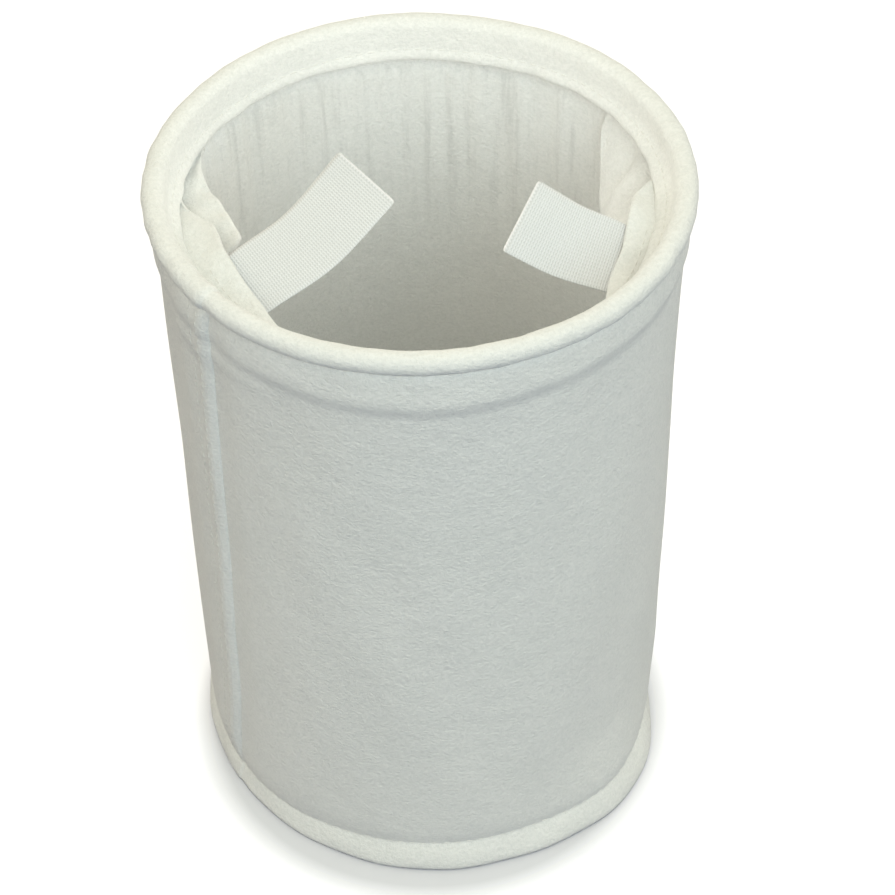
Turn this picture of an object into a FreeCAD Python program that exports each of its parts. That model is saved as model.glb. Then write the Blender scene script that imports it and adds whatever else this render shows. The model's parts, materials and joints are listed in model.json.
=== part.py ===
# Needle-felt filter bag for a workshop dust collector: an open-topped felt sleeve with a steel ring
# rolled into its rim, a turned-in hem, a lapped side seam, a sewn-in bottom disc and two pull handles
# of folded webbing, each held between two felt patches under the hem.
# Millimetres and degrees. +Z is the bag's axis, and the origin is the middle of its base on the ground.
# Azimuths are counted from +X towards +Y. The handles are shown as they stand when the bag is set down.
import FreeCAD, Part
import math
import os
import Sketcher

from FreeCAD import Placement, Rotation, Vector

SIZES = {
    # felt sleeve
    "felt_thickness": 2.0,
    "wall_radius": 90.0,
    "bottom_seam_radius": 89.4,
    "bottom_seam_height": 12.0,
    "lip_radius": 93.0,
    "lip_edge_height": 2.0,
    "wall_start_height": 20.0,
    # rim: felt rolled round the steel ring, then turned inside as a hem
    "ring_radius": 89.0,
    "ring_height": 267.0,
    "wire_radius": 1.95,
    "wire_channel_radius": 2.0,
    "bead_radius": 4.0,
    "hem_radius": 85.4,
    "hem_edge_height": 253.5,
    "hem_slot_height": 262.0,
    "wall_top_height": 264.5,
    # lapped side seam
    "lap_azimuth": 212.0,
    "lap_angle": 12.0,
    "lap_start_height": 13.0,
    "lap_end_height": 260.8,
    # bottom disc
    "disc_height": 13.5,
    "disc_sag": 2.0,
    "skirt_clearance": 0.1,
    # sewing thread
    "thread_radius": 0.4,
    "thread_clearance": 0.05,
    "rim_seam_height": 261.9,
    "side_seam_row_angle": 3.0,
    "handle_row_length": 22.0,
    "outer_row_radius": 82.2,
    "inner_row_radius": 76.8,
    "row_lift": 0.25,
    # webbing
    "webbing_width": 25.4,
    "webbing_fold_thickness": 2.8,
    "webbing_fold_radius": 1.6,
    "selvedge": 0.4,
    "webbing_end_gap": 2.6,
    # left handle
    "left_azimuth": 215.5,
    "left_hinge_radius": 67.0,
    "left_hinge_height": 257.0,
    "left_roll": 13.0,
    "left_reach": 45.9,
    "left_root_length": 16.5,
    "left_root_drop": 7.3,
    # right handle
    "right_azimuth": 338.6,
    "right_hinge_radius": 67.0,
    "right_hinge_height": 253.0,
    "right_roll": -24.0,
    "right_reach": 29.1,
    "right_root_length": 16.5,
    "right_root_drop": 3.4,
    # felt patches
    "patch_outer_radius": 87.6,
    "patch_height": 252.3,
    "backing_height": 246.0,
}

doc = FreeCAD.newDocument("felt_filter_bag")
sheet = doc.addObject("Spreadsheet::Sheet", "dims")
for row, (alias, value) in enumerate(SIZES.items(), 1):
    sheet.set(f"A{row}", alias)
    sheet.set(f"B{row}", str(value))
    sheet.setAlias(f"B{row}", alias)
doc.recompute()

PARTS = []


def size(alias):
    """A driving dimension, read from the sheet."""
    return float(sheet.get(alias))


def number(terms):
    """The value of a sum such as "wall_radius - felt_thickness"."""
    total = 0.0
    sign = 1.0
    for word in terms.split():
        if word in "+-":
            sign = -1.0 if word == "-" else 1.0
        else:
            total += sign * (size(word) if word in SIZES else float(word))
    return total


def formula(terms):
    """The same sum as an expression on the sheet's cells."""
    return " ".join("dims." + word if word in SIZES else word for word in terms.split())


def new_body(label):
    body = doc.addObject("PartDesign::Body", label)
    body.Label = label
    PARTS.append(body)
    return body


def origin_plane(body, role):
    return next(plane for plane in body.Origin.OriginFeatures if plane.Role == role)


def new_sketch(body, name, role, offset=None):
    sketch = body.newObject("Sketcher::SketchObject", name)
    sketch.AttachmentSupport = [(origin_plane(body, role), "")]
    sketch.MapMode = "FlatFace"
    if offset:
        sketch.AttachmentOffset = offset
    return sketch


def bind(sketch, kind, point, terms):
    """Fix one coordinate of a line's start point to a sum of the sheet's cells."""
    if number(terms) == 0:
        axis = -2 if kind == "DistanceX" else -1
        sketch.addConstraint(Sketcher.Constraint("PointOnObject", point, 1, axis))
        return
    index = sketch.addConstraint(Sketcher.Constraint(kind, -1, 1, point, 1, number(terms)))
    sketch.setExpression(f"Constraints[{index}]", formula(terms))


def draw_outline(sketch, corners):
    """A closed outline of straight runs. Each corner is a pair of sums of the sheet's cells."""
    points = [Vector(number(across), number(up), 0) for across, up in corners]
    count = len(points)
    for index in range(count):
        sketch.addGeometry(Part.LineSegment(points[index], points[(index + 1) % count]), False)
    for index in range(count):
        sketch.addConstraint(Sketcher.Constraint("Coincident", index, 2, (index + 1) % count, 1))
    for index, (across, up) in enumerate(corners):
        bind(sketch, "DistanceX", index, across)
        bind(sketch, "DistanceY", index, up)


def revolve(body, name, corners, azimuth=0.0, angle=None):
    """Turn an outline, drawn as radius and height, about the bag's axis."""
    turned = Placement(Vector(), Rotation(Vector(0, 1, 0), azimuth))
    sketch = new_sketch(body, name + "_outline", "XZ_Plane", turned)
    draw_outline(sketch, corners)
    feature = body.newObject("PartDesign::Revolution", name)
    feature.Profile = sketch
    feature.ReferenceAxis = (sketch, ["V_Axis"])
    if angle:
        feature.Midplane = True
        feature.setExpression("Angle", formula(angle))
    else:
        feature.Angle = 360
    sketch.Visibility = False
    doc.recompute()
    return feature


def ring(kind, name, radius, height, section_radius, body=None):
    """A torus about the bag's axis, alone or as a feature of a body."""
    feature = body.newObject(kind, name) if body else doc.addObject(kind, name)
    feature.setExpression("Radius1", formula(radius))
    feature.setExpression("Radius2", formula(section_radius))
    feature.setExpression("Placement.Base.z", formula(height))
    return feature


def group(label, pieces):
    """Separate solids that make one sub-part."""
    compound = doc.addObject("Part::Compound", label)
    compound.Label = label
    compound.Links = pieces
    PARTS.append(compound)
    return compound


def polar(radius, azimuth, height):
    angle = math.radians(azimuth)
    return Vector(radius * math.cos(angle), radius * math.sin(angle), height)


def felt_sleeve():
    """One sheet of felt: wall, flared lip, bead round the ring, turned-in hem and lapped side seam."""
    body = new_body("felt_sleeve")
    inner_wall = "wall_radius - felt_thickness"
    revolve(body, "wall_and_hem", [
        ("lip_radius", "0"),
        ("lip_radius", "lip_edge_height"),
        ("bottom_seam_radius", "bottom_seam_height"),
        ("wall_radius", "wall_start_height"),
        ("wall_radius", "wall_top_height"),
        ("hem_radius + 0.6", "wall_top_height"),
        ("hem_radius", "wall_top_height - 2"),
        ("hem_radius", "hem_edge_height"),
        ("hem_radius + felt_thickness", "hem_edge_height"),
        ("hem_radius + felt_thickness", "hem_slot_height"),
        (inner_wall, "hem_slot_height"),
        (inner_wall, "wall_start_height"),
        ("bottom_seam_radius - felt_thickness", "bottom_seam_height"),
        ("lip_radius - felt_thickness", "lip_edge_height"),
        ("lip_radius - felt_thickness", "0"),
    ])
    revolve(body, "lap", [
        ("wall_radius - 1", "lap_start_height"),
        ("wall_radius + felt_thickness", "lap_start_height"),
        ("wall_radius + felt_thickness", "lap_end_height"),
        ("wall_radius - 1", "lap_end_height"),
    ], size("lap_azimuth"), "lap_angle")
    ring("PartDesign::AdditiveTorus", "bead", "ring_radius", "ring_height", "bead_radius", body)
    ring("PartDesign::SubtractiveTorus", "wire_channel", "ring_radius", "ring_height",
         "wire_channel_radius", body)


def steel_ring():
    """The welded wire ring inside the rim's bead."""
    wire = ring("Part::Torus", "steel_ring", "ring_radius", "ring_height", "wire_radius")
    wire.Label = "steel_ring"
    PARTS.append(wire)


def bottom_disc():
    """The round base, sewn in above the ground with its edge turned down inside the sleeve's lip."""
    body = new_body("bottom_disc")
    top = "bottom_seam_radius - felt_thickness - skirt_clearance"
    low = "lip_radius - felt_thickness - skirt_clearance"
    revolve(body, "disc_and_skirt", [
        ("0", "disc_height - disc_sag - felt_thickness"),
        (top + " - felt_thickness", "disc_height - felt_thickness"),
        (low + " - felt_thickness", "lip_edge_height"),
        (low + " - felt_thickness", "0"),
        (low, "0"),
        (low, "lip_edge_height"),
        (top, "bottom_seam_height"),
        (top + " - 1.2", "disc_height"),
        ("0", "disc_height - disc_sag"),
    ])


def thread_ring(name, radius, height):
    return ring("Part::Torus", name, radius, height, "thread_radius")


def thread_run(name, start, direction, length):
    """A straight run of thread from a point, along a direction."""
    run = doc.addObject("Part::Cylinder", name)
    run.setExpression("Radius", "dims.thread_radius")
    run.setExpression("Height", formula(length))
    run.Placement = Placement(start, Rotation(Vector(0, 0, 1), direction))
    return run


def seam_threads():
    """Threads of the seam under the ring, outside and inside, of the base seam and of the side seam."""
    group("rim_seam_thread", [
        thread_ring("rim_thread_outside", "wall_radius + thread_radius + thread_clearance",
                    "rim_seam_height"),
        thread_ring("rim_thread_inside", "hem_radius - thread_radius - thread_clearance",
                    "rim_seam_height"),
    ])
    group("bottom_seam_thread", [
        thread_ring("bottom_thread", "bottom_seam_radius + thread_radius + thread_clearance",
                    "bottom_seam_height"),
    ])
    lap_face = number("wall_radius + felt_thickness + thread_radius + thread_clearance")
    rows = []
    for side in (-1, 1):
        azimuth = size("lap_azimuth") + side * size("side_seam_row_angle")
        foot = polar(lap_face, azimuth, size("lap_start_height"))
        rows.append(thread_run(f"side_thread_{len(rows)}", foot, Vector(0, 0, 1),
                               "lap_end_height - lap_start_height"))
    group("side_seam_thread", rows)


def handle_frame(side):
    """The handle's hinge: X points level into the bag along the webbing's root, Y along the hinge
    line, which tips by the handle's roll because the webbing is sewn in with a twist."""
    azimuth = size(side + "_azimuth")
    hinge = polar(size(side + "_hinge_radius"), azimuth, size(side + "_hinge_height"))
    turn = Rotation(Vector(0, 0, 1), azimuth + 180)
    return Placement(hinge, turn.multiply(Rotation(Vector(1, 0, 0), size(side + "_roll"))))


def webbing_section(body, name, along, shift, rise, yaw, twist):
    """A cross-section of the folded webbing, at a distance along the handle's X axis.

    In the sketch, X runs across the webbing, Y through its thickness and Z along the handle."""
    turn = Rotation(Vector(0, 1, 0), yaw).multiply(Rotation(Vector(0, 0, 1), twist))
    sketch = new_sketch(body, name, "YZ_Plane", Placement(Vector(shift, rise, along), turn))
    half_wide = number("webbing_width") / 2
    half_thick = number("webbing_fold_thickness") / 2
    ends = [Vector(-half_wide, -half_thick, 0), Vector(half_wide, -half_thick, 0),
            Vector(half_wide, half_thick, 0), Vector(-half_wide, half_thick, 0)]
    for index in range(4):
        sketch.addGeometry(Part.LineSegment(ends[index], ends[(index + 1) % 4]), False)
    for index in range(4):
        sketch.addConstraint(Sketcher.Constraint("Coincident", index, 2, (index + 1) % 4, 1))
    for index in (0, 2):
        sketch.addConstraint(Sketcher.Constraint("Horizontal", index))
    for index in (1, 3):
        sketch.addConstraint(Sketcher.Constraint("Vertical", index))
    sketch.addConstraint(Sketcher.Constraint("Symmetric", 0, 1, 2, 1, -1, 1))
    wide = sketch.addConstraint(Sketcher.Constraint("DistanceX", 0, 1, 0, 2, 2 * half_wide))
    sketch.setExpression(f"Constraints[{wide}]", "dims.webbing_width")
    thick = sketch.addConstraint(Sketcher.Constraint("DistanceY", 1, 1, 1, 2, 2 * half_thick))
    sketch.setExpression(f"Constraints[{thick}]", "dims.webbing_fold_thickness")
    return sketch


def round_end(body, name, radius, place):
    """A rounded end across the webbing, at a placement whose Y axis is the webbing's width."""
    feature = body.newObject("PartDesign::AdditiveCylinder", name)
    feature.setExpression("Radius", radius)
    feature.setExpression("Height", "dims.webbing_width - 2 * dims.selvedge")
    across = place.Rotation.multVec(Vector(0, 1, 0))
    start = place.Base - across * (size("webbing_width") / 2 - size("selvedge"))
    feature.Placement = Placement(start, Rotation(Vector(0, 0, 1), across))


def webbing_loft(body, name, places):
    """Webbing through cross-sections, each (distance along X, sideways shift, rise, yaw, twist)."""
    sections = [webbing_section(body, f"{name}_{index}", *place) for index, place in enumerate(places)]
    loft = body.newObject("PartDesign::AdditiveLoft", name)
    loft.Profile = sections[0]
    loft.Sections = [(section, [""]) for section in sections[1:]]
    for section in sections:
        section.Visibility = False
    doc.recompute()


def handle(side, path):
    """The free loop of a handle: webbing folded flat, bent up from its hinge and twisted a little.

    path lists (share of the reach, sideways shift, rise, yaw, twist) for each cross-section."""
    body = new_body(side + "_handle")
    reach = size(side + "_reach")
    webbing_loft(body, "folded_webbing", [(share * reach, *rest) for share, *rest in path])
    round_end(body, "knuckle", "dims.webbing_fold_thickness / 2", Placement())
    shift, rise, yaw, twist = path[-1][1:]
    inset = size("webbing_fold_radius") / 2
    turn = Rotation(Vector(0, 0, 1), yaw).multiply(Rotation(Vector(1, 0, 0), twist))
    end = Placement(Vector(reach - inset, shift, rise - inset / 2), turn)
    round_end(body, "fold", "dims.webbing_fold_radius", end)
    body.Placement = handle_frame(side)


def handle_root(side):
    """The sewn ends of a handle's webbing, level at the wall and rolled with the hinge inside."""
    body = new_body(side + "_handle_root")
    roll = size(side + "_roll")
    drop = size(side + "_root_drop")
    level = Rotation(Vector(1, 0, 0), -roll).multVec(Vector(-size(side + "_root_length"), 0, -drop))
    webbing_loft(body, "sewn_ends", [(level.x, level.y, level.z, 0, -roll), (0, 0, 0, 0, 0)])
    gap = body.newObject("PartDesign::SubtractiveCylinder", "bend_clearance")
    gap.setExpression("Radius", "dims.webbing_end_gap")
    gap.setExpression("Height", "dims.webbing_width + 2")
    gap.Placement = Placement(Vector(0, size("webbing_width") / 2 + 1, 0),
                              Rotation(Vector(1, 0, 0), 90))
    body.Placement = handle_frame(side)


def flap(label, sections):
    """A felt patch hanging from the wall: a loft of thin strips drawn in planes through the axis.

    sections lists (azimuth, outer height, tip radius, tip height)."""
    half = size("felt_thickness") / 2
    wires = []
    for azimuth, outer_height, tip_radius, tip_height in sections:
        outer = Vector(size("patch_outer_radius"), 0, outer_height)
        tip = Vector(tip_radius, 0, tip_height)
        along = (tip - outer).normalize()
        normal = Vector(along.z, 0, -along.x)
        outer.x -= abs(normal.x) * half
        corners = [outer + normal * half, tip + normal * half, tip - normal * half,
                   outer - normal * half]
        turn = Rotation(Vector(0, 0, 1), azimuth)
        corners = [turn.multVec(corner) for corner in corners]
        wires.append(Part.makePolygon(corners + corners[:1]))
    feature = doc.addObject("Part::Feature", label)
    feature.Label = label
    feature.Shape = Part.makeLoft(wires, True, True)
    PARTS.append(feature)


def patches():
    """Per handle, a patch over the webbing's ends and a backing patch under them."""
    top = size("patch_height")
    backing = size("backing_height")
    flap("left_patch", [
        (165, top, 85.0, top - 0.4), (175, top - 0.6, 81.5, top + 0.2),
        (183, top - 1.2, 75.0, top + 2.6), (191, top - 1.7, 69.6, top + 6.8),
        (204, top - 1.8, 70.0, top + 9.8), (215, top - 1.2, 70.6, top + 7.5),
        (226, top - 0.8, 72.6, top + 5.0), (236, top - 0.5, 76.8, top + 3.6),
        (247, top, 84.0, top + 0.6),
    ])
    flap("left_backing", [
        (160, top - 1.2, 81.8, backing + 4.2), (167, backing + 3.2, 74.6, backing + 4.6),
        (176, backing + 1.4, 67.2, backing + 6.4), (186, backing, 63.2, backing + 8.4),
        (195, backing, 62.2, backing + 9.4), (199, backing, 70.4, backing + 6.0),
        (202, backing, 73.4, backing + 5.0), (226, backing, 74.6, backing + 2.3),
        (246, backing, 83.0, backing + 0.8),
    ])
    flap("right_patch", [
        (14, top, 84.0, top + 0.4), (7, top - 0.7, 77.2, top + 3.6), (0, top - 1.2, 71.8, top + 6.4),
        (350, top - 1.3, 70.2, top + 8.0), (339, top - 0.5, 70.6, top + 3.6),
        (328, top, 72.0, top - 0.5), (315, top, 80.6, top - 0.3),
    ])
    flap("right_backing", [
        (40.5, top - 0.2, 85.0, 246.0), (36, top - 0.4, 79.8, 231.5), (30, top - 1.2, 73.6, 223.5),
        (21, backing + 3.4, 68.8, 226.0), (11, backing + 2.0, 66.8, 231.0),
        (3, backing, 66.8, 238.0), (356, backing, 67.8, 242.5),
        (352, backing, 73.6, 245.8), (331, backing, 74.6, 244.8), (314, backing, 82.0, 245.8),
    ])


def handle_threads(side, start, end):
    """Two rows of stitches through a handle's patch, across the webbing, beside the hem.

    start and end give the patch under the two ends of the rows: how far its outer edge lies below
    patch_height, and the slope at which it climbs inwards."""
    frame = Rotation(Vector(0, 0, 1), size(side + "_azimuth"))
    lift = number("felt_thickness") / 2 + number("thread_radius + thread_clearance")
    half = size("handle_row_length") / 2
    rows = []
    for row_radius in ("outer_row_radius", "inner_row_radius"):
        ends = []
        for across, (drop, slope) in ((-half, start), (half, end)):
            climb = math.radians(slope)
            inset = size("patch_outer_radius") - math.hypot(size(row_radius), half)
            height = size("patch_height") - drop + inset * math.tan(climb) + lift / math.cos(climb)
            ends.append(frame.multVec(Vector(size(row_radius), across, height + size("row_lift"))))
        rows.append(thread_run(f"{side}_thread_{len(rows)}", ends[0], ends[1] - ends[0],
                               "handle_row_length"))
    group(side + "_handle_thread", rows)


felt_sleeve()
steel_ring()
bottom_disc()
seam_threads()
handle("left", [(0.0, 0.0, 0.0, 0, 0), (0.5, 1.0, 6.3, 5, 2.5), (1.0, 4.7, 20.0, 11.5, 4.4)])
handle("right", [(0.0, 0.0, 0.0, 0, 0), (0.5, 0.1, 4.6, -6, -10), (1.0, -0.3, 14.0, -14.5, -20.6)])
for handle_side in ("left", "right"):
    handle_root(handle_side)
patches()
handle_threads("left", (1.3, 30.5), (0.8, 22.0))
handle_threads("right", (0.1, 0.0), (0.9, 24.5))

doc.recompute()
for item in doc.Objects:
    if "Invalid" in item.State or "Error" in item.State:
        raise RuntimeError(f"{item.Label} failed: {item.State}")
for item in PARTS:
    if item.Shape.isNull() or not item.Shape.isValid():
        raise RuntimeError(f"{item.Label} has no valid shape")

os.makedirs("parts", exist_ok=True)
for item in PARTS:
    item.Shape.exportStep(f"parts/{item.Label}.step")
    box = item.Shape.BoundBox
    print(f"{item.Label}: {len(item.Shape.Solids)} solids, volume {item.Shape.Volume:.0f}, "
          f"x {box.XMin:.1f} to {box.XMax:.1f}, y {box.YMin:.1f} to {box.YMax:.1f}, "
          f"z {box.ZMin:.1f} to {box.ZMax:.1f}")
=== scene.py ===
# The looks of a needle-felt filter bag for a workshop dust collector.
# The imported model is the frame. Every visible piece is built here round it, in millimetres,
# and goes to Blender in metres. Azimuths are counted from +X towards +Y.
import json
import math
import random

import bmesh
import bpy
import numpy as np
from mathutils import Matrix, Vector


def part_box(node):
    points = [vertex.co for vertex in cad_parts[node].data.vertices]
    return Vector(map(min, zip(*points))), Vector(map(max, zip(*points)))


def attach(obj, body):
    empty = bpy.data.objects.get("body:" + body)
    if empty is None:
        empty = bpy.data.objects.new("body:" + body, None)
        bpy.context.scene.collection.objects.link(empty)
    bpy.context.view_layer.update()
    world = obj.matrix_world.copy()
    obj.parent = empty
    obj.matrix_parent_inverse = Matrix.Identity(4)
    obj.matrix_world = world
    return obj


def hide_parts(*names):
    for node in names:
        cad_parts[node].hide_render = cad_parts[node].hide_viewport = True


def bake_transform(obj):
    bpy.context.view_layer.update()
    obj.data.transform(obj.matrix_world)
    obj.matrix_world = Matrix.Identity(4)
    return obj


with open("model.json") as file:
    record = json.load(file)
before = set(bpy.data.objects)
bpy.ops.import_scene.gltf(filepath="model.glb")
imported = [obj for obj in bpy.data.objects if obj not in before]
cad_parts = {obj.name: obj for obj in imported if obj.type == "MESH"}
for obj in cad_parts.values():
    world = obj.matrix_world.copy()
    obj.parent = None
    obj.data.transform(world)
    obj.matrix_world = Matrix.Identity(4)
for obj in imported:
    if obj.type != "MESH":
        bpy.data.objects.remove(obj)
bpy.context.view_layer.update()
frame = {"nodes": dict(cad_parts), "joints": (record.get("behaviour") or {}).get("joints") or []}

MM = 0.001
TURN = 2 * math.pi


# ---------------------------------------------------------------- sizes from the frame

def node_box(node):
    """A CAD node's lowest and highest corners, in millimetres."""
    low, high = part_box(node)
    return np.array(low) / MM, np.array(high) / MM


WIRE_LOW, WIRE_HIGH = node_box("steel_ring")
WIRE_RADIUS = (WIRE_HIGH[2] - WIRE_LOW[2]) / 2
RING_HEIGHT = (WIRE_HIGH[2] + WIRE_LOW[2]) / 2
RING_RADIUS = WIRE_HIGH[0] - WIRE_RADIUS
LIP_RADIUS = node_box("bottom_disc")[1][0]
SEAM_HEIGHT = (node_box("bottom_seam_thread")[0][2] + node_box("bottom_seam_thread")[1][2]) / 2
WALL_RADIUS = 90.0
FELT = 2.0
HALF = FELT / 2
WALL = WALL_RADIUS - HALF
HEM = RING_RADIUS - WIRE_RADIUS - HALF
HEM_EDGE = 254.6
PATCH_ROOT = 87.4
BASE_SEAM_RADIUS = WALL - 1.35
RIM_GROOVE = 261.6


class Hinge:
    """A handle's bend: X points level into the bag, Y along the hinge line, and Z up out of the
    webbing."""

    def __init__(self, joint):
        self.place = np.array(joint["pos_m"]) / MM
        self.azimuth = math.degrees(math.atan2(self.place[1], self.place[0]))
        self.across = -np.array(joint["axis"]) / np.linalg.norm(joint["axis"])
        heading = math.radians(self.azimuth + 180)
        self.inward = np.array([math.cos(heading), math.sin(heading), 0.0])
        self.up = np.cross(self.inward, self.across)

    def point(self, along, shift, rise):
        return self.place + along * self.inward + shift * self.across + rise * self.up


HINGES = {joint["child"]: Hinge(joint) for joint in frame["joints"]}


# ---------------------------------------------------------------- shape helpers

def smooth_line(points, steps):
    """A Catmull-Rom line through points, with steps[i] spans between points i and i + 1."""
    points = np.array(points, float)
    padded = np.vstack([2 * points[0] - points[1], points, 2 * points[-1] - points[-2]])
    line = []
    for index, count in enumerate(steps):
        a, b, c, d = padded[index:index + 4]
        for t in np.arange(count) / count:
            line.append(0.5 * (2 * b + (c - a) * t + (2 * a - 5 * b + 4 * c - d) * t ** 2
                               + (3 * b - a - 3 * c + d) * t ** 3))
    line.append(points[-1])
    return np.array(line)


def waves(around, along, seed, turns, lengths, count=14):
    """Smooth uneven relief of about -1 to 1: a sum of sines with so many turns round the bag
    and so many millimetres along it."""
    pick = random.Random(seed)
    total = np.zeros(np.broadcast(around, along).shape)
    for _ in range(count):
        waves_round = pick.randint(*turns)
        pitch = pick.uniform(*lengths) * pick.choice((-1, 1))
        total = total + np.sin(waves_round * around + TURN * along / pitch + pick.uniform(0, TURN))
    return total / math.sqrt(count)


def bump(value, middle, width):
    """A bell of height 1."""
    return np.exp(-((value - middle) / width) ** 2)


def ramp(value, start, end):
    """0 before start, 1 after end, smooth between."""
    t = np.clip((value - start) / (end - start), 0, 1)
    return t * t * (3 - 2 * t)


def turned(azimuth, middle):
    """How far azimuth lies from middle, in degrees, the short way round."""
    return (azimuth - middle + 180) % 360 - 180


def cylinder_point(radius, azimuth, height):
    angle = np.radians(azimuth)
    return np.stack([radius * np.cos(angle), radius * np.sin(angle), height + 0 * angle], -1)


def surface_normals(grid):
    """Unit normals of a grid of points, pointing along rows x columns."""
    down = np.gradient(grid, axis=0)
    across = np.gradient(grid, axis=1)
    normals = np.cross(down, across)
    return normals / np.maximum(np.linalg.norm(normals, axis=-1, keepdims=True), 1e-9)


def make_piece(name, points, faces, body="bag", marks=None):
    """A smooth mesh object from points in millimetres, riding on a body. Marks are UV places."""
    mesh = bpy.data.meshes.new(name)
    mesh.from_pydata([tuple(point) for point in np.array(points) * MM], [], faces)
    solid = bmesh.new()
    solid.from_mesh(mesh)
    bmesh.ops.recalc_face_normals(solid, faces=solid.faces)
    solid.to_mesh(mesh)
    solid.free()
    if marks is not None:
        layer = mesh.uv_layers.new(name="weave")
        for loop in mesh.loops:
            layer.data[loop.index].uv = marks[loop.vertex_index]
    mesh.shade_smooth()
    piece = bpy.data.objects.new(name, mesh)
    bpy.context.scene.collection.objects.link(piece)
    if body:
        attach(piece, body)
    return piece


def shell_faces(rows, columns, closed=False):
    """Faces of a closed shell: two grids of rows x columns, one after the other, joined at their
    edges."""
    faces = []
    other = rows * columns
    last = columns if closed else columns - 1
    for i in range(rows - 1):
        for j in range(last):
            k = (j + 1) % columns
            a, b = i * columns + j, i * columns + k
            c, d = b + columns, a + columns
            faces.append((d, c, b, a))
            faces.append((a + other, b + other, c + other, d + other))
    for i, flip in ((0, False), (rows - 1, True)):
        for j in range(last):
            a, b = i * columns + j, i * columns + (j + 1) % columns
            edge = (a, b, b + other, a + other)
            faces.append(edge[::-1] if flip else edge)
    if not closed:
        for j, flip in ((0, True), (columns - 1, False)):
            for i in range(rows - 1):
                a, b = i * columns + j, (i + 1) * columns + j
                edge = (a, b, b + other, a + other)
                faces.append(edge[::-1] if flip else edge)
    return faces


EDGE_SHARE = 0.62


def soft_edges(rows, columns, ends=(True, True), sides=(True, True)):
    """Thickness share over a grid: thinner in the last line along each cut edge."""
    share = np.ones((rows, columns))
    for there, line in zip(ends, (0, -1)):
        if there:
            share[line, :] *= EDGE_SHARE
    for there, line in zip(sides, (0, -1)):
        if there:
            share[:, line] *= EDGE_SHARE
    return share


def shell(name, grid, half, body="bag", closed=False, lift=0.0):
    """A sheet with thickness: grid is its middle surface, half its half thickness at each point."""
    if closed:
        wrapped = np.concatenate([grid[:, -1:], grid, grid[:, :1]], axis=1)
        normals = surface_normals(wrapped)[:, 1:-1]
    else:
        normals = surface_normals(grid)
    lift = np.broadcast_to(lift, grid.shape[:2])[..., None]
    half = np.broadcast_to(half, grid.shape[:2])[..., None]
    front = grid + normals * (lift + half)
    back = grid + normals * (lift - half)
    rows, columns = grid.shape[:2]
    points = np.concatenate([front.reshape(-1, 3), back.reshape(-1, 3)])
    piece = make_piece(name, points, shell_faces(rows, columns, closed), body)
    return piece, front, back, normals


# The sewing thread's radius, how high its middle lies over the felt as a share of that radius,
# and how deep a stitch's ends go in.
THREAD = 0.26
RAISED = -0.1
SINK = 0.25
STITCH_SPANS = 7
STITCH_SIDES = 6


def stitch_row(path, normals, length, gap):
    """Points and faces of a row of stitches that lie along a path on a surface."""
    steps = np.linalg.norm(np.diff(path, axis=0), axis=1)
    reach = np.concatenate([[0], np.cumsum(steps)])
    count = max(1, int(reach[-1] // (length + gap)))
    pitch = reach[-1] / count
    points, faces = [], []
    spans, sides = STITCH_SPANS, STITCH_SIDES
    for stitch in range(count):
        start = (stitch + 0.5) * pitch - length / 2
        along = start + length * np.arange(spans + 1) / spans
        middle = np.stack([np.interp(along, reach, path[:, k]) for k in range(3)], -1)
        normal = np.stack([np.interp(along, reach, normals[:, k]) for k in range(3)], -1)
        normal /= np.linalg.norm(normal, axis=1, keepdims=True)
        tangent = np.gradient(middle, axis=0)
        tangent /= np.linalg.norm(tangent, axis=1, keepdims=True)
        side = np.cross(tangent, normal)
        dip = ((2 * np.arange(spans + 1) / spans - 1) ** 4) * (THREAD + SINK)
        middle = middle + normal * (THREAD * RAISED - dip[:, None])
        base = len(points)
        for i in range(spans + 1):
            for k in range(sides):
                angle = TURN * k / sides
                spoke = math.cos(angle) * side[i] + math.sin(angle) * normal[i]
                points.append(middle[i] + THREAD * spoke)
        for i in range(spans):
            for k in range(sides):
                a, b = base + i * sides + k, base + i * sides + (k + 1) % sides
                faces.append((a, b, b + sides, a + sides))
        faces.append(tuple(base + k for k in range(sides))[::-1])
        faces.append(tuple(base + spans * sides + k for k in range(sides)))
    return points, faces


def stitches(name, rows, node):
    """One piece of several stitch rows, each (path, normals, length, gap), in place of a thread
    node."""
    points, faces = [], []
    for path, normals, length, gap in rows:
        more_points, more_faces = stitch_row(path, normals, length, gap)
        faces += [tuple(index + len(points) for index in face) for face in more_faces]
        points += more_points
    piece = make_piece(name, points, faces)
    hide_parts(node)
    give(piece, THREAD_LOOK)


# ---------------------------------------------------------------- materials

def new_material(name, colour, roughness, sheen):
    """A plain material: itself, its node tree and its shader."""
    material = bpy.data.materials.new(name)
    material.use_nodes = True
    shader = material.node_tree.nodes["Principled BSDF"]
    shader.inputs["Base Color"].default_value = (*colour, 1)
    shader.inputs["Roughness"].default_value = roughness
    shader.inputs["Sheen Weight"].default_value = sheen
    shader.inputs["Sheen Roughness"].default_value = 0.6
    shader.inputs["Specular IOR Level"].default_value = 0.2
    return material, material.node_tree, shader


def add_node(tree, kind, settings=None, **links):
    """A node with plain settings and inputs. An input is named, or i0, i1 and so on by its number,
    and is a value or another node's socket."""
    node = tree.nodes.new(kind)
    for key, value in (settings or {}).items():
        setattr(node, key, value)
    for key, value in links.items():
        numbered = key[0] == "i" and key[1:].isdigit()
        socket = node.inputs[int(key[1:]) if numbered else key.replace("_", " ")]
        if isinstance(value, bpy.types.NodeSocket):
            tree.links.new(value, socket)
        else:
            socket.default_value = value
    return node


def map_range(tree, value, start, end, top=1.0, kind="LINEAR"):
    """0 at start and top at end, as a socket."""
    node = add_node(tree, "ShaderNodeMapRange", {"interpolation_type": kind}, Value=value)
    node.inputs["From Min"].default_value = start
    node.inputs["From Max"].default_value = end
    node.inputs["To Max"].default_value = top
    return node.outputs["Result"]


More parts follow.
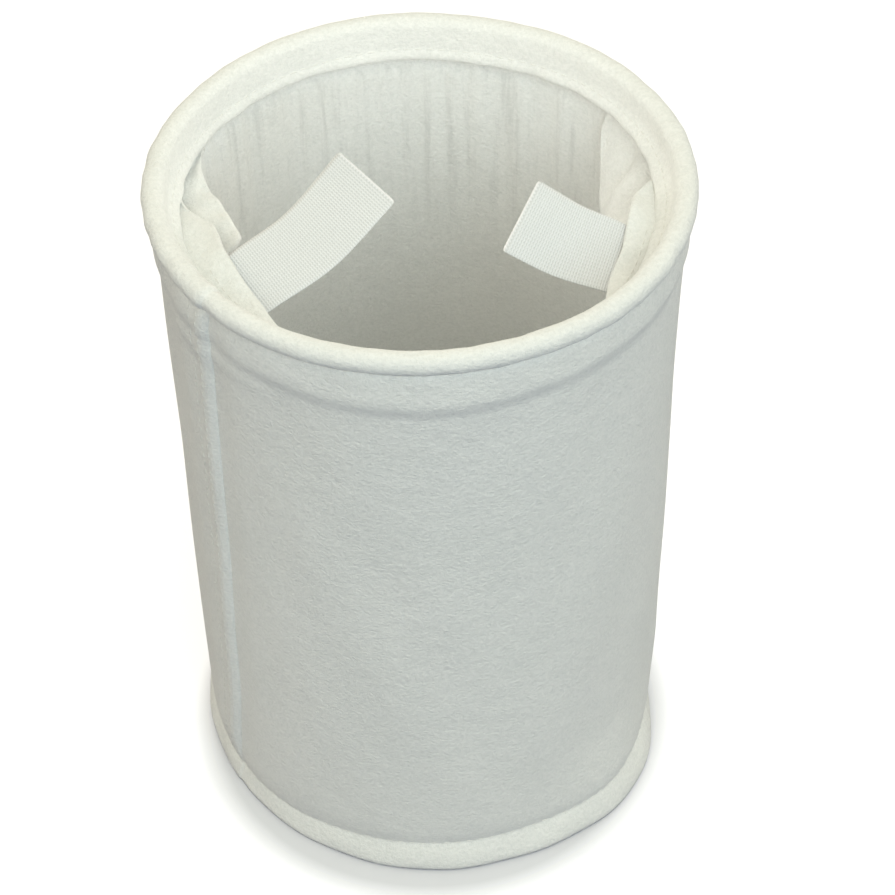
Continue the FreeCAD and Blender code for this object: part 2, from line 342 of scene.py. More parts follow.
def maths(tree, operation, *inputs):
    """A maths node's result, from values or sockets."""
    links = {f"i{index}": value for index, value in enumerate(inputs)}
    return add_node(tree, "ShaderNodeMath", {"operation": operation}, **links).outputs[0]


def noise(tree, where, scale, detail, roughness=0.5):
    node = add_node(tree, "ShaderNodeTexNoise", Vector=where, Scale=scale, Detail=detail,
                    Roughness=roughness)
    return node.outputs[0]


def stretched(tree, where, scale):
    """The same place with its axes scaled, so that a texture runs along one of them."""
    node = add_node(tree, "ShaderNodeMapping", {"vector_type": "POINT"}, Vector=where)
    node.inputs["Scale"].default_value = scale
    return node.outputs[0]


def colour_ramp(tree, factor, stops):
    """A colour between stops, each (position, colour), as a socket."""
    ramp_node = add_node(tree, "ShaderNodeValToRGB", i0=factor)
    elements = ramp_node.color_ramp.elements
    for index, (position, colour) in enumerate(stops):
        element = elements[index] if index < 2 else elements.new(position)
        element.position = position
        element.color = (*colour, 1)
    return ramp_node.outputs["Color"]


def add_bumps(tree, shader, height, distance, strength):
    node = add_node(tree, "ShaderNodeBump", Height=height, Distance=distance, Strength=strength)
    tree.links.new(node.outputs[0], shader.inputs["Normal"])


# Heights in metres: where the painted shade of the creases begins to show, where it shows fully,
# where the hem hides it. Then how dark the painted shade is, and how far it is drawn out upright.
CREASE_START, CREASE_FULL, CREASE_END = 0.150, 0.225, 0.2535
CREASE_SHADE = 0.13
CREASE_STRETCH = 0.07


def painted_crease_shade(tree, where, colour):
    """Painted shade in the fine upright creases of the sleeve's inner face, in its upper half."""
    split = add_node(tree, "ShaderNodeSeparateXYZ", Vector=where)
    level = add_node(tree, "ShaderNodeCombineXYZ", X=split.outputs["X"], Y=split.outputs["Y"])
    reach = add_node(tree, "ShaderNodeVectorMath", {"operation": "LENGTH"}, i0=level.outputs[0])
    inner = maths(tree, "LESS_THAN", reach.outputs["Value"], (WALL - 0.35) * MM)
    upper = map_range(tree, split.outputs["Z"], CREASE_START, CREASE_FULL, kind="SMOOTHSTEP")
    below = maths(tree, "LESS_THAN", split.outputs["Z"], CREASE_END)
    shown = maths(tree, "MULTIPLY", maths(tree, "MULTIPLY", inner, upper), below)
    lines = noise(tree, stretched(tree, where, (1.0, 1.0, CREASE_STRETCH)), 260.0, 3.0, 0.6)
    folds = map_range(tree, lines, 0.46, 0.74, kind="SMOOTHSTEP")
    amount = maths(tree, "MULTIPLY", folds, shown)
    share = maths(tree, "MULTIPLY_ADD", amount, -CREASE_SHADE, 1.0)
    shaded = add_node(tree, "ShaderNodeVectorMath", {"operation": "SCALE"}, i0=colour, Scale=share)
    return shaded.outputs[0]


def felt_material(name, light, dark, fuzz=1.0, painted_creases=False):
    """Needle-punched felt: short matted fibres, a pebbled needled face, and cloudy unevenness."""
    material, tree, shader = new_material(name, light, 0.95, 0.35)
    where = add_node(tree, "ShaderNodeTexCoord").outputs["Object"]
    matted = stretched(tree, where, (0.82, 0.82, 1.0))
    clouds = noise(tree, where, 28.0, 5.0, 0.6)
    lumps = noise(tree, where, 150.0, 3.0, 0.6)
    pebbles = noise(tree, matted, 880.0, 3.0, 0.6)
    fibres = noise(tree, matted, 2300.0, 2.0, 0.7)
    grain = maths(tree, "MULTIPLY_ADD", fibres, 0.5, pebbles)
    total = maths(tree, "MULTIPLY_ADD", clouds, 0.3, maths(tree, "MULTIPLY", grain, 0.8))
    colour = colour_ramp(tree, total, [(0.60, dark), (0.90, light)])
    # Painted shade: the sleeve's colour is darkened in streaks on its inner face.
    if painted_creases:
        colour = painted_crease_shade(tree, where, colour)
    tree.links.new(colour, shader.inputs["Base Color"])
    relief = maths(tree, "MULTIPLY_ADD", lumps, 1.3, grain)
    add_bumps(tree, shader, relief, 0.0011, 0.52 * fuzz)
    return material


# How far the webbing's ribs sway over its yarns, in radians of a rib's wave.
YARN_SWAY = 0.7


def webbing_material():
    """Woven polypropylene webbing: ribs across the band, with the lengthwise yarns over them."""
    material, tree, shader = new_material("woven_webbing", (0.74, 0.75, 0.74), 0.62, 0.2)
    place = add_node(tree, "ShaderNodeTexCoord").outputs["UV"]
    split = add_node(tree, "ShaderNodeSeparateXYZ", Vector=place)
    yarn = maths(tree, "COSINE", maths(tree, "MULTIPLY", split.outputs["X"], TURN))
    sway = maths(tree, "MULTIPLY", yarn, YARN_SWAY)
    rib = maths(tree, "COSINE", maths(tree, "MULTIPLY_ADD", split.outputs["Y"], TURN, sway))
    weft = maths(tree, "MULTIPLY_ADD", rib, 0.34, 0.5)
    height = maths(tree, "MULTIPLY_ADD", yarn, 0.08, weft)
    # Painted shade: the colour follows the weave's relief, darker in its hollows and lighter on its
    # crowns.
    stops = [(0.12, (0.69, 0.7, 0.7)), (0.62, (0.85, 0.86, 0.87))]
    tree.links.new(colour_ramp(tree, height, stops), shader.inputs["Base Color"])
    add_bumps(tree, shader, height, 0.00015, 0.6)
    return material


def thread_material():
    """Twisted polyester thread, a little lighter on its strands."""
    material, tree, shader = new_material("sewing_thread", (0.84, 0.84, 0.80), 0.7, 0.2)
    where = add_node(tree, "ShaderNodeTexCoord").outputs["Object"]
    twist = noise(tree, where, 1800.0, 2.0)
    stops = [(0.3, (0.79, 0.79, 0.755)), (0.65, (0.9, 0.9, 0.865))]
    tree.links.new(colour_ramp(tree, twist, stops), shader.inputs["Base Color"])
    add_bumps(tree, shader, twist, 0.0001, 0.6)
    return material


def steel_material():
    """Drawn steel wire, for the ring inside the bead."""
    material, tree, shader = new_material("drawn_wire", (0.62, 0.63, 0.64), 0.32, 0.0)
    shader.inputs["Metallic"].default_value = 1.0
    where = add_node(tree, "ShaderNodeTexCoord").outputs["Object"]
    drawn = noise(tree, where, 900.0, 4.0)
    stops = [(0.3, (0.5, 0.51, 0.52)), (0.7, (0.7, 0.71, 0.72))]
    tree.links.new(colour_ramp(tree, drawn, stops), shader.inputs["Base Color"])
    return material


def give(piece, material):
    piece.data.materials.clear()
    piece.data.materials.append(material)


FELT_LOOK = felt_material("needle_felt", (0.97, 0.975, 0.95), (0.862, 0.874, 0.85), painted_creases=True)
PATCH_LOOK = felt_material("patch_felt", (0.985, 0.99, 0.965), (0.89, 0.9, 0.875), 1.1)
WEB_LOOK = webbing_material()
THREAD_LOOK = thread_material()
STEEL_LOOK = steel_material()


# ---------------------------------------------------------------- felt sleeve

OVERLAP = 8.0
# The side seam's azimuth at each height: it drifts round the bag a little on its way up.
SEAM_LINE = [(0, 213.0), (28, 213.5), (60, 216.0), (140, 218.0), (221, 219.0), (255, 220.5),
             (271, 222.0)]
# The mesh's upright lines are close together over this many degrees at each end of the sheet.
DENSE = 14
DENSE_LINES = 30
OPEN_LINES = 308
# Small dents of the bead: (azimuth, width).
BEAD_DENTS = [(196, 2.0), (188, 1.6), (30, 2.2), (334, 1.8)]
# Where the patches pull the hem inwards: (azimuth, width, pull, rise).
HEM_PULLS = [(350, 40, 5.0, 1.2), (200, 36, 3.6, 0.2)]
BASE_PUCKERS = 88
RIM_PUCKERS = 140
# How far the base stands out of round: (azimuth, width, push, height where it starts).
BASE_PUSH = [(319, 19, 5.0, 52), (361, 14, -4.0, 52), (214, 26, -1.9, 12), (283, 14, 0.6, 12)]


def base_push(azimuth, height):
    """Outward push near the floor, the same for the sleeve and for the disc inside it."""
    return sum(push * bump(turned(azimuth, middle), 0, width) * ramp(height, start, 3)
               for middle, width, push, start in BASE_PUSH)


def sleeve_profile():
    """The felt's middle line as (radius, height): hem edge, up, over the wire, down the wall, lip
    edge. The points it is drawn through are (radius, height, spans to the next point)."""
    roll = WIRE_RADIUS + HALF
    hem = [(HEM - 0.9, HEM_EDGE, 2), (HEM - 1.6, HEM_EDGE + 1.2, 2), (HEM - 1.3, HEM_EDGE + 2.8, 2),
           (HEM - 0.7, HEM_EDGE + 4.2, 3), (HEM - 0.45, HEM_EDGE + 7.5, 4)]
    bead = []
    for angle in (185, 150, 115, 80, 45, 10, -25, -58):
        turn = math.radians(angle)
        bead.append((RING_RADIUS + roll * math.cos(turn), RING_HEIGHT + roll * math.sin(turn), 3))
    wall = [(WALL - 0.35, 262.6, 2), (WALL - 0.5, RIM_GROOVE, 2), (WALL + 0.1, 259.9, 3),
            (WALL + 0.7, 255.0, 3), (WALL + 1.05, 250.0, 2), (WALL + 0.8, 247.6, 3),
            (WALL - 0.3, 243.6, 3), (WALL - 0.4, 239.6, 4), (WALL - 0.5, 233.0, 5),
            (WALL - 0.5, 215.0, 9), (WALL - 0.3, 170.0, 14), (WALL, 100.0, 14), (WALL, 40.0, 5),
            (WALL - 0.1, 20.0, 3), (WALL - 0.8, SEAM_HEIGHT + 2.4, 3),
            (BASE_SEAM_RADIUS, SEAM_HEIGHT, 3), (WALL - 0.2, SEAM_HEIGHT - 2.4, 3),
            (WALL + 1.2, SEAM_HEIGHT - 5.5, 3), (WALL + 2.4, SEAM_HEIGHT - 9.0, 2),
            (WALL + 2.9, 0.3, 0)]
    points = hem + bead + wall
    line = smooth_line([point[:2] for point in points], [point[2] for point in points[:-1]])
    return line, sum(point[2] for point in hem)


def sleeve_offsets():
    """Degrees from the sheet's starting edge: close together where the two ends overlap."""
    ends = np.linspace(0, DENSE, DENSE_LINES, endpoint=False)
    middle = np.linspace(DENSE, 360 - DENSE + OVERLAP, OPEN_LINES, endpoint=False)
    return np.concatenate([ends, middle, 360 + OVERLAP - ends[::-1]])


OFFSETS = sleeve_offsets()


def build_sleeve():
    """The sleeve's cloth. Returns its piece, its section line, the number of hem rows, and its
    outer face as places and normals."""
    line, hem_rows = sleeve_profile()
    rows = len(line)
    radius = line[:, :1]
    height = line[:, 1:]
    seam = np.interp(height, *zip(*SEAM_LINE))
    azimuth = seam - OVERLAP + OFFSETS
    around = np.radians(azimuth)
    along = np.concatenate([[0], np.cumsum(np.linalg.norm(np.diff(line, axis=0), axis=1))])[:, None]

    # Shares of each part of the section: 1 on it, 0 off it.
    hem_end = along[hem_rows, 0]
    hem = 1 - ramp(along, hem_end - 3, hem_end + 1)
    hem_drop = hem * ramp(height, 262.5, HEM_EDGE)
    bead = ramp(along, hem_end - 2, hem_end + 1) * ramp(along, hem_end + 20, hem_end + 15)
    rim = (1 - hem) * ramp(height, 238, 262)
    lip = ramp(height, 14, 4)
    wall = (1 - rim) * (1 - lip) * (1 - hem)

    # The base seam dips and the band under the bead steps down in front.
    height = height - (1 - hem) * bump(height, 13, 7) * 2.4 * bump(turned(azimuth, 222), 0, 30)
    step = (1 - hem) * bump(height, 247, 7)
    height = height + step * 2.2 * (1 - bump(turned(azimuth, 270), 0, 30))
    # Unevenness, from the whole bag's outline down to the bead's dents and the sewn puckers.
    radius = radius + 0.35 * waves(around, height, 3, (2, 5), (300, 700), 6)
    radius = radius + wall * 0.22 * waves(around, height, 5, (4, 16), (60, 260))
    radius = radius + rim * 0.1 * waves(around, along, 7, (10, 36), (12, 50))
    radius = radius + hem_drop * 0.30 * waves(around, along, 8, (8, 40), (20, 60))
    radius = radius + bead * 0.09 * waves(around, along, 15, (20, 70), (8, 40))
    for middle, width in BEAD_DENTS:
        radius = radius - (bead + 0.5 * hem) * 0.2 * bump(turned(azimuth, middle), 0, width)
    radius = radius + lip * 0.4 * waves(around, along, 9, (5, 22), (30, 90), 8)
    radius = radius + (1 - hem) * base_push(azimuth, height)
    for middle, width, pull, rise in HEM_PULLS:
        near = bump(turned(azimuth, middle), 0, width)
        radius = radius - hem_drop * near * pull
        height = height + hem_drop * near * rise
    faint = (1 - hem) * bump(turned(azimuth, 216), 0, 17)
    radius = radius + faint * (0.8 * bump(height, 243, 4.5) - 0.6 * bump(height, 249.5, 4))
    height = height + 0.22 * (rim + hem) * waves(around, 0 * along, 11, (3, 9), (200, 400), 6)
    puckers = 1 + np.cos(around * BASE_PUCKERS)
    radius = radius - bump(height, SEAM_HEIGHT, 4.0) * (1 - hem) * 0.12 * puckers
    radius = radius + bump(height, 261.8, 2.2) * (1 - hem) * 0.08 * np.cos(around * RIM_PUCKERS)

    # The lap: the upper end lies over the lower one, with its cut edge tucked in under a ridge.
    over = ramp(OFFSETS, 350, 358.5)
    tucked = ramp(OFFSETS, 366.6, 368.0)
    settled = (1 - hem) * ramp(height, 30, 12)
    under = 1 - ramp(OFFSETS, 9, 16 - 4 * settled)
    ridge = (0.6 - 0.4 * bead) * bump(OFFSETS, 365.6, 1.4)
    lift = (1 - 0.88 * settled) * ((1.25 - 0.8 * bead) * over + ridge)
    lift = lift - (0.5 - 0.3 * bead) * (1 - 0.6 * settled) * under - (1.1 - 0.5 * bead) * tucked
    half = HALF * (1 - 0.2 * np.maximum(over, under)) * soft_edges(rows, len(OFFSETS))
    # Furrows on the inner face only.
    furrows = (1 - hem) * ramp(height, 150, 215) * ramp(height, 256, 246)
    furrows = furrows * 0.42 * waves(around, height, 13, (18, 66), (240, 900), 18)
    half = half + furrows / 2
    lift = lift - furrows / 2

    grid = cylinder_point(radius, azimuth, height)
    piece, outer, _, outward = shell("felt_sleeve_cloth", grid, half, lift=lift)
    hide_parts("felt_sleeve")
    give(piece, FELT_LOOK)
    return piece, line, hem_rows, (outer, outward)


sleeve, SLEEVE_LINE, HEM_ROWS, (OUTER, OUTWARD) = build_sleeve()


def row_at(height, after=0):
    """The sleeve row nearest to a height, among those after a row."""
    return after + int(np.argmin(np.abs(SLEEVE_LINE[after:, 1] - height)))


def sleeve_stitches():
    """The rows under the bead and inside it, round the base, and twice down the lap."""
    groove = row_at(RIM_GROOVE, HEM_ROWS + 8)
    inside = row_at(HEM_EDGE + 4.2)
    base = row_at(SEAM_HEIGHT, HEM_ROWS + 8)
    shown = slice(int(np.searchsorted(OFFSETS, OVERLAP)) + 2, None)
    stitches("rim_stitches", [
        (OUTER[groove, shown], OUTWARD[groove, shown], 3.2, 0.9),
        (OUTER[inside, shown], OUTWARD[inside, shown], 3.4, 0.9),
    ], "rim_seam_thread")
    stitches("base_stitches", [(OUTER[base, shown], OUTWARD[base, shown], 3.4, 1.0)],
             "bottom_seam_thread")
    columns = [int(np.searchsorted(OFFSETS, 360 + OVERLAP - degrees)) for degrees in (3.2, 6.4)]
    stitches("side_stitches", [
        (OUTER[groove + 2:base - 2, column], OUTWARD[groove + 2:base - 2, column], 3.3, 0.9)
        for column in columns
    ], "side_seam_thread")


sleeve_stitches()


# ---------------------------------------------------------------- base disc

BASE_COLUMNS = 240


def build_base():
    """The base: a sagging disc, gathered at its sewn edge and turned down inside the lip."""
    seam_radius = BASE_SEAM_RADIUS - HALF - 0.9
    low_radius = LIP_RADIUS - HALF
    outline = [(0.5, 10.6, 10), (40.0, 11.0, 10), (70.0, 11.8, 8), (82.0, 12.6, 4),
               (seam_radius - 0.8, 12.8, 3), (seam_radius, 11.2, 3), (seam_radius + 1.2, 8.6, 4),
               (low_radius - 1.0, 4.0, 4), (low_radius - 0.2, 0.0, 0)]
    line = smooth_line([point[:2] for point in outline], [point[2] for point in outline[:-1]])
    around = TURN * np.arange(BASE_COLUMNS) / BASE_COLUMNS
    radius, height = line[:, :1], line[:, 1:]
    top = ramp(radius, 20, 60) * (height > 9)
    height = height + top * 0.45 * waves(around, radius, 21, (2, 9), (60, 200), 8)
    gather = bump(radius, 82, 7) * (height > 9)
    height = height + gather * 0.3 * waves(around, radius, 22, (24, 60), (40, 90), 10)
    edge = ramp(radius, 70, 84)
    radius = radius + edge * base_push(np.degrees(around), height)
    grid = np.stack([radius * np.cos(around), radius * np.sin(around), height], -1)
    half = HALF * soft_edges(len(line), BASE_COLUMNS, ends=(False, True), sides=(False, False))
    piece = shell("base_disc_cloth", grid, half, closed=True)[0]
    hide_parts("bottom_disc")
    give(piece, FELT_LOOK)


build_base()


# ---------------------------------------------------------------- patches

TOP = 252.3
LOW = 246.0
PATCH_ROWS = 26
# Each patch's sections: (azimuth, height at the wall, radius of its cut edge, height of that edge).
PATCHES = {
    "left_patch": [
        (165, TOP + 0.8, 85.0, TOP + 0.4), (175, TOP + 0.8, 81.5, TOP + 1.0),
        (183, TOP, 75.0, TOP + 2.8), (191, TOP - 1.0, 69.6, TOP + 6.8),
        (204, TOP - 1.8, 70.0, TOP + 9.8), (215, TOP - 1.2, 70.6, TOP + 7.5),
        (226, TOP - 0.8, 72.6, TOP + 5.0), (236, TOP - 0.5, 76.8, TOP + 3.6),
        (247, TOP, 84.0, TOP + 0.6)],
    "left_backing": [
        (153, TOP + 0.4, 85.6, TOP - 1.0), (160, TOP - 0.2, 81.4, LOW + 4.6),
        (167, LOW + 4.2, 74.6, LOW + 4.9), (176, LOW + 1.8, 67.2, LOW + 6.4),
        (186, LOW, 63.2, LOW + 8.4), (195, LOW, 62.2, LOW + 9.4), (199, LOW, 70.4, LOW + 6.0),
        (202, LOW, 73.4, LOW + 5.0), (226, LOW, 74.6, LOW + 2.3), (246, LOW, 83.0, LOW + 0.8)],
    "right_patch": [
        (315, TOP, 80.6, TOP - 0.3), (328, TOP, 72.0, TOP - 0.5), (339, TOP - 0.5, 70.6, TOP + 3.6),
        (350, TOP - 1.3, 70.2, TOP + 8.0), (360, TOP - 1.2, 71.8, TOP + 6.4),
        (367, TOP - 0.7, 77.2, TOP + 3.6), (374, TOP, 84.0, TOP + 0.4)],
    "right_backing": [
        (314, LOW, 82.0, 245.8), (331, LOW, 74.6, 244.8), (352, LOW, 73.6, 245.8),
        (356, LOW, 67.8, 242.5), (363, LOW, 66.8, 238.0), (371, LOW + 2.0, 66.8, 231.0),
        (381, LOW + 3.4, 68.8, 226.0), (390, TOP - 1.2, 73.6, 223.5),
        (396, TOP - 0.4, 79.8, 231.5), (400.5, TOP - 0.2, 85.0, 246.0)],
}
# Where a patch swells or sinks: (azimuth, width, depth, spread, rise), with depth from 0 at the
# wall to 1 at the cut edge.
PUFFS = {
    "left_patch": [(196, 9, 0.55, 0.3, 0.8), (214, 4, 0.5, 0.25, -0.7), (228, 6, 0.6, 0.3, 0.7)],
    "left_backing": [(180, 8, 0.6, 0.3, 0.7)],
    "right_patch": [(352, 7, 0.5, 0.3, 0.8), (338, 4, 0.6, 0.25, -0.6)],
    "right_backing": [(379, 5, 0.45, 0.45, 5.2), (387.5, 2.6, 0.45, 0.4, -2.6),
                      (371, 2.6, 0.7, 0.4, -2.6)],
}


def build_patch(node, sections, seed, puffs):
    """A felt patch: from its root at the wall to a cut edge inside, with uneven waves and puffs.
    Returns its azimuths, and its upper face as places and normals."""
    spans = [max(2, int(round(b[0] - a[0]))) for a, b in zip(sections, sections[1:])]
    line = smooth_line(sections, spans)
    azimuth, root_height, tip_radius, tip_height = (line[:, k][None, :] for k in range(4))
    depth = np.linspace(0, 1, PATCH_ROWS)[:, None]
    around = np.radians(azimuth)
    radius = PATCH_ROOT + (tip_radius - PATCH_ROOT) * depth
    height = root_height + (tip_height - root_height) * depth
    loose = ramp(depth, 0.15, 0.9)
    height = height + loose * 0.3 * waves(around, depth * 20, seed, (6, 24), (18, 60), 10)
    radius = radius + loose * 0.2 * waves(around, depth * 20, seed + 1, (6, 26), (30, 90), 10)
    grid = cylinder_point(radius + 0 * azimuth, azimuth + 0 * depth, height)
    outward = surface_normals(grid)
    outward *= np.where(outward[..., 2:] < 0, -1, 1)
    swell = loose * 0.35 * waves(around, depth * 26, seed + 2, (10, 44), (14, 50), 12)
    for middle, width, deep, spread, rise in puffs:
        swell = swell + rise * bump(turned(azimuth, middle), 0, width) * bump(depth, deep, spread)
    grid = grid + outward * swell[..., None]
    rows, columns = grid.shape[:2]
    half = HALF * 0.95 * soft_edges(rows, columns)
    piece, front, back, normals = shell(node + "_felt", grid, half)
    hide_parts(node)
    give(piece, PATCH_LOOK)
    width = float(np.sum(np.linalg.norm(np.diff(grid[rows // 2], axis=0), axis=1)))
    above = front if front[..., 2].mean() > back[..., 2].mean() else back
    upward = normals if above is front else -normals
    return azimuth[0], above, upward


SURFACES = {}
for number, (node, sections) in enumerate(PATCHES.items()):
    SURFACES[node] = build_patch(node, sections, 40 + 10 * number, PUFFS[node])

for side in ("left", "right"):
    azimuths, above, upward = SURFACES[side + "_patch"]
    middle = HINGES[side + "_handle"].azimuth % 360
    spread = np.abs(turned(azimuths, middle)) < 9.5
    stitches(side + "_handle_stitches", [
        (above[row, spread], upward[row, spread], 3.0, 0.9) for row in (9, 16)
    ], side + "_handle_thread")


# ---------------------------------------------------------------- handles

WEB_WIDTH = 25.4
LAYER = 1.25
LAYER_GAP = 0.06
FOLD_BULGE = 1.15
RIB = 0.95
ROWS_PER_RIB = 4
YARNS = 20
COLUMNS_PER_YARN = 4
ROOT_LENGTH = 15.5
# Two places along the webbing, in millimetres from its hinge.
BEND = (-0.5, 7.5)
# How far the root sinks, how far the loop reaches, how much its lower layer lies to one side, and
# its path beyond the hinge: (share of the reach, shift, rise, yaw, twist).
HANDLE_PATHS = {
    "left": {"drop": 6.6, "reach": 45.9, "edge": 1.1,
             "path": [(0.0, 0.0, 0.0, 0, 0), (0.5, 1.0, 6.3, 5, 2.5), (1.0, 4.7, 20.0, 11.5, 4.4)]},
    "right": {"drop": 3.2, "reach": 29.1, "edge": -0.5,
              "path": [(0.0, 0.0, 0.0, 0, 0), (0.5, 0.1, 4.6, -6, -10),
                       (1.0, -0.3, 14.0, -14.5, -20.6)]},
}


def handle_line(hinge, drop, reach, path):
    """The folded webbing's middle line, from its sewn root to its fold, in the hinge's frame:
    places, and unit vectors across it, along it and out of its upper face."""
    roll = math.asin(hinge.across[2])
    controls = [(-ROOT_LENGTH, -drop * math.sin(roll), -drop * math.cos(roll), 0,
                 -math.degrees(roll))]
    controls += [(share * reach, *rest) for share, *rest in path]
    line = smooth_line(controls, [60, 60, 70])
    places = line[:, :3]
    yaw, twist = np.radians(line[:, 3]), np.radians(line[:, 4])
    sides = np.stack([-np.sin(yaw) * np.cos(twist), np.cos(yaw) * np.cos(twist), np.sin(twist)], -1)
    ahead = np.gradient(places, axis=0)
    ahead /= np.linalg.norm(ahead, axis=1, keepdims=True)
    lifts = np.cross(ahead, sides)
    lifts /= np.linalg.norm(lifts, axis=1, keepdims=True)
    return places, sides, ahead, lifts


def band_line(places, sides, ahead, lifts, edge):
    """The band's middle line: top layer out, round the fold, bottom layer back, which lies a
    little to one side. Each row is (place, side, lift)."""
    gap = LAYER / 2 + LAYER_GAP
    steps = np.linalg.norm(np.diff(places, axis=0), axis=1)
    reach = np.concatenate([[0], np.cumsum(steps)])
    pitch = RIB / ROWS_PER_RIB
    marks = np.arange(0, reach[-1] - gap, pitch)

    def at(values):
        return np.stack([np.interp(marks, reach, values[:, k]) for k in range(3)], -1)

    middle, side, lift, onward = at(places), at(sides), at(lifts), at(ahead)
    rows = [(middle[i] + gap * lift[i], side[i], lift[i]) for i in range(len(marks))]
    centre, side_end, lift_end, onward_end = middle[-1], side[-1], lift[-1], onward[-1]
    turns = max(6, int(math.pi * gap / pitch))
    for k in range(1, turns):
        angle = math.pi * k / turns
        out = math.cos(angle) * lift_end + math.sin(angle) * onward_end
        slip = edge * (1 - math.cos(angle)) / 2
        rows.append((centre + gap * FOLD_BULGE * out + slip * side_end, side_end, out))
    for i in range(len(marks) - 1, -1, -1):
        rows.append((middle[i] - gap * lift[i] + edge * side[i], side[i], -lift[i]))
    return rows


def weave(rows, columns):
    """Relief of the woven face: ribs across the band, with the yarns along it passing over them."""
    along = np.arange(rows)[:, None] / ROWS_PER_RIB
    yarns = np.cos(TURN * np.linspace(0, YARNS, columns)[None, :])
    return 0.13 * np.cos(TURN * along + YARN_SWAY * yarns) + 0.02 * yarns


def build_handle(side, drop, reach, edge, path):
    """Webbing folded double: one ribbed band that leaves its patches and runs on past the hinge."""
    hinge = HINGES[side + "_handle"]
    rows = band_line(*handle_line(hinge, drop, reach, path), edge)
    columns = COLUMNS_PER_YARN * YARNS + 1
    across = np.linspace(-0.5, 0.5, columns) * WEB_WIDTH
    middle, side_way, lift = (np.array([row[k] for row in rows]) for k in range(3))
    local = middle[:, None] + across[None, :, None] * side_way[:, None]
    selvedge = ramp(np.abs(across), WEB_WIDTH / 2 - 1.2, WEB_WIDTH / 2)
    half = LAYER / 2 * (1 - 0.45 * selvedge ** 3)
    relief = weave(len(rows), columns) * (1 - selvedge)
    points = []
    for grid in (local + lift[:, None] * (half + relief)[..., None],
                 local - lift[:, None] * half[:, None]):
        world = (hinge.place + grid[..., :1] * hinge.inward + grid[..., 1:2] * hinge.across
                 + grid[..., 2:] * hinge.up)
        points.append(world.reshape(-1, 3))
    marks = [(YARNS * j / (columns - 1), i / ROWS_PER_RIB) for i in range(len(rows))
             for j in range(columns)]
    faces = shell_faces(len(rows), columns)
    piece = make_piece(side + "_webbing", np.concatenate(points), faces, None, marks * 2)
    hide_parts(side + "_handle", side + "_handle_root")
    give(piece, WEB_LOOK)
    tuple(hinge.point(BEND[0], 0, 0) * MM)
    tuple(hinge.point(BEND[1], 0, 0) * MM)
    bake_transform(piece)


for side, shape in HANDLE_PATHS.items():
    build_handle(side, **shape)

frame["nodes"]["steel_ring"].material_slots[0].material = STEEL_LOOK


# ---------------------------------------------------------------- stage, light and camera

FLOOR_SIZE = 120.0
# The floor glows evenly, but for a painted shadow in front of the base, where its glow fades out:
# the painted shadow's middle, and how far out the glow begins and is full, in metres.
PAINTED_SHADOW_MIDDLE = (0, -0.012, 0)
PAINTED_SHADOW_REACH = (0.088, 0.0985)
FLOOR_GLOW = 0.42


def build_stage():
    bpy.ops.mesh.primitive_plane_add(size=FLOOR_SIZE, location=(0, 0, -0.0002))
    floor = bpy.context.object
    floor.name = "floor"
    material, tree, shader = new_material("pale_floor", (0.83, 0.83, 0.87), 0.9, 0.0)
    shader.inputs["Emission Color"].default_value = (1, 1, 1, 1)
    where = add_node(tree, "ShaderNodeTexCoord").outputs["Object"]
    reach = add_node(tree, "ShaderNodeVectorMath", {"operation": "DISTANCE"}, i0=where,
                     i1=PAINTED_SHADOW_MIDDLE)
    # Painted shadow: no glow near the base, full glow farther out.
    glow = map_range(tree, reach.outputs["Value"], *PAINTED_SHADOW_REACH, top=FLOOR_GLOW)
    tree.links.new(glow, shader.inputs["Emission Strength"])
    floor.data.materials.append(material)
    floor.visible_diffuse = False


def add_lamp(name, kind, place, power, colour):
    """A lamp's object and its light."""
    light = bpy.data.lights.new(name, kind)
    light.energy = power
    light.color = colour
    lamp = bpy.data.objects.new(name, light)
    bpy.context.scene.collection.objects.link(lamp)
    lamp.location = place
    return lamp, light


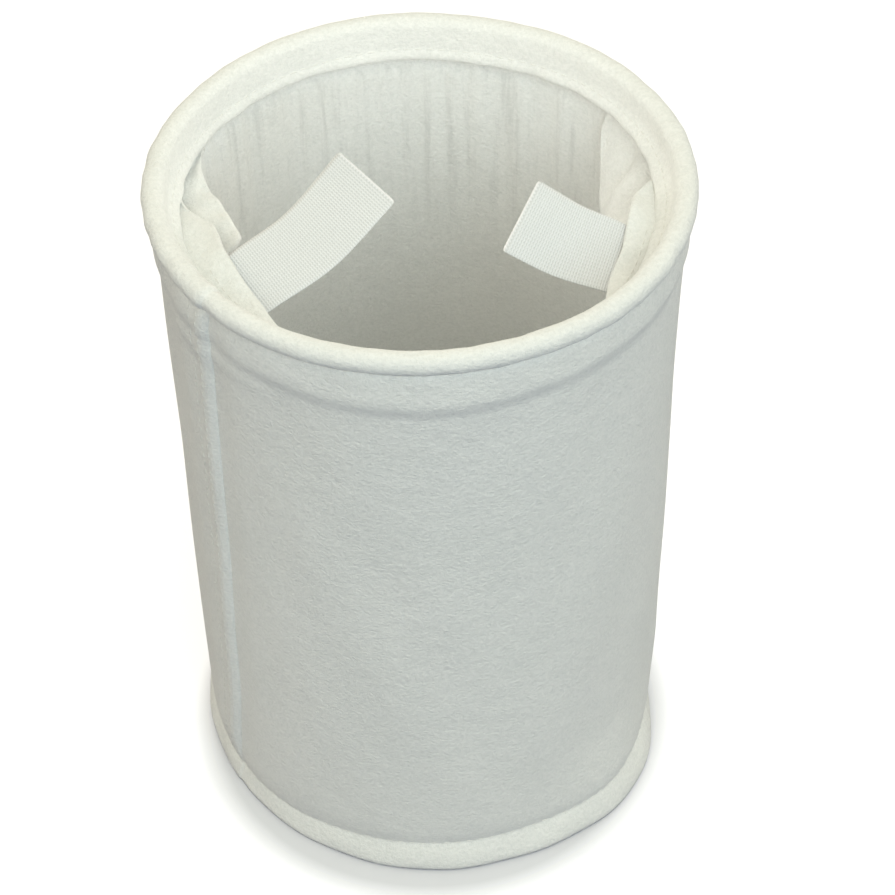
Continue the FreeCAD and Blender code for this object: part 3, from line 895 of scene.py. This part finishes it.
SKY = (0.88, 0.845, 0.71)
GROUND_GLOW = (0.03, 0.04, 0.09)
HORIZON = (0.484, 0.494)
FRONT_PLACE = Vector((0.38, -1.25, 1.1))
FRONT_AIM = Vector((0, 0, 0.2))
FRONT_POWER = 7.2
FRONT_COLOUR = (0.65, 0.87, 1.0)
MOUTH_PLACE = (0, 0, 0.262)
MOUTH_POWER = 0.052
MOUTH_COLOUR = (0.98, 0.93, 0.9)


def light_scene():
    """A warm sky, a broad cool lamp in front, and a small fill lamp in the bag's mouth, for the
    light that thin felt lets through. The floor throws no light back."""
    world = bpy.data.worlds.new("studio")
    bpy.context.scene.world = world
    world.use_nodes = True
    tree = world.node_tree
    toward = add_node(tree, "ShaderNodeTexCoord").outputs["Generated"]
    height = add_node(tree, "ShaderNodeSeparateXYZ", Vector=toward).outputs["Z"]
    share = maths(tree, "MULTIPLY_ADD", height, 0.5, 0.5)
    colour = colour_ramp(tree, share, [(HORIZON[0], GROUND_GLOW), (HORIZON[1], SKY)])
    tree.links.new(colour, tree.nodes["Background"].inputs["Color"])
    front, panel = add_lamp("front", "AREA", FRONT_PLACE, FRONT_POWER, FRONT_COLOUR)
    front.rotation_euler = (FRONT_AIM - FRONT_PLACE).to_track_quat("-Z", "Y").to_euler()
    panel.shape = "DISK"
    panel.size = 1.0
    mouth, bulb = add_lamp("mouth", "POINT", MOUTH_PLACE, MOUTH_POWER, MOUTH_COLOUR)
    mouth.visible_camera = False
    bulb.shadow_soft_size = 0.03
    bpy.context.scene.view_settings.view_transform = "Standard"


def place_camera():
    """The camera looks down along +Y, with a very slight roll."""
    pitch = math.radians(45.527)
    target = Vector((7.796, 0.0, 139.151)) * MM
    distance = 871.78 * MM
    roll = -0.015
    turn = Matrix.Rotation(math.pi / 2 - pitch, 4, "X") @ Matrix.Rotation(roll, 4, "Z")
    camera = bpy.data.cameras.new("camera")
    camera.lens = 93.99
    camera.sensor_width = 36.0
    camera.clip_start = 0.01
    view = bpy.data.objects.new("camera", camera)
    bpy.context.scene.collection.objects.link(view)
    ahead = Vector((0, math.cos(pitch), -math.sin(pitch)))
    view.matrix_world = Matrix.Translation(target - ahead * distance) @ turn
    bpy.context.scene.camera = view


build_stage()
light_scene()
place_camera()
